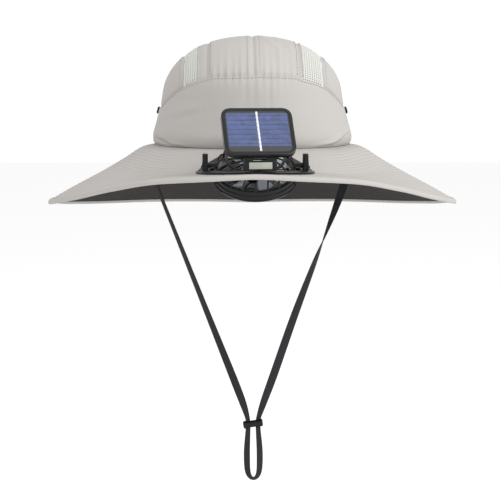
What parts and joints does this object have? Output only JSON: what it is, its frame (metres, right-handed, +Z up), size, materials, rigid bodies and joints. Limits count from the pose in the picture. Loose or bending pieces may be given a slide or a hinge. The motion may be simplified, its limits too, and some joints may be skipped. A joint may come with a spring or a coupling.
{
  "type": "sun hat with solar fan",
  "caption": "Wide-brimmed cloth sun hat with a small tilting fan let into the front of its brim, a tilting solar panel on a stand above it, and a chin strap with a toggle.",
  "frame": {"origin": "middle of the head opening, in the plane of the seam between the crown and the brim, where a head would carry the hat", "axes": "+Z up through the crown, +X to the right of someone who looks at the front, -Y towards the front, where the fan is"},
  "size_m": [0.372, 0.398, 0.4141],
  "materials": {
    "light_cloth": "matt woven polyester, light greige",
    "mesh_cloth": "open knitted mesh, pale greenish white",
    "dark_cloth": "matt woven polyester, dark charcoal",
    "strap_tape": "flat woven tape, dark charcoal",
    "black_plastic": "satin black moulding",
    "fan_blade": "glossy blue-grey moulding",
    "steel": "plated steel",
    "pale_plastic": "pale grey-green moulding, left bare",
    "solar_glass": "blue solar cell under clear resin"
  },
  "bodies": {
    "hat": {"crown_band": "light_cloth", "crown_centre_left": "light_cloth", "crown_centre_right": "light_cloth", "vent_left": "mesh_cloth", "vent_right": "mesh_cloth", "crown_side_left": "light_cloth", "crown_side_right": "light_cloth", "snap_left": "black_plastic", "snap_right": "black_plastic", "brim_top": "light_cloth", "brim_underside": "dark_cloth", "brim_binding": "light_cloth", "fan_frame": "black_plastic", "frame_clamp_ring": "black_plastic", "pivot_screw_left": "steel", "pivot_screw_right": "steel", "chin_strap": "strap_tape", "cord_toggle": "black_plastic"},
    "fan_unit": {"fan_housing": "black_plastic", "fan_grille": "black_plastic", "fan_back_grille": "black_plastic", "fan_motor": "steel"},
    "fan_blades": {"fan_rotor": "fan_blade"},
    "stand": {"panel_yoke": "black_plastic", "stand_plate": "pale_plastic", "hinge_pin": "steel"},
    "panel": {"panel_frame": "black_plastic", "solar_cell": "solar_glass"}
  },
  "joints": [
    {"name": "fan_tilt", "type": "hinge", "parent": "hat", "child": "fan_unit", "pos_m": [0, -0.152, -0.011], "axis": [1, 0, 0], "range_deg": [-30, 30]},
    {"name": "fan_spin", "type": "hinge", "parent": "fan_unit", "child": "fan_blades", "pos_m": [0, -0.152, -0.011], "axis": [0, -0.5, 0.866], "continuous": true},
    {"name": "panel_swivel", "type": "hinge", "parent": "hat", "child": "stand", "pos_m": [0.003, -0.194, -0.01281], "axis": [0, 0, 1], "range_deg": [-27, 9]},
    {"name": "panel_tilt", "type": "hinge", "parent": "stand", "child": "panel", "pos_m": [0.003, -0.194, -0.00261], "axis": [0.9877, 0.1564, 0], "range_deg": [-18, 37]}
  ]
}
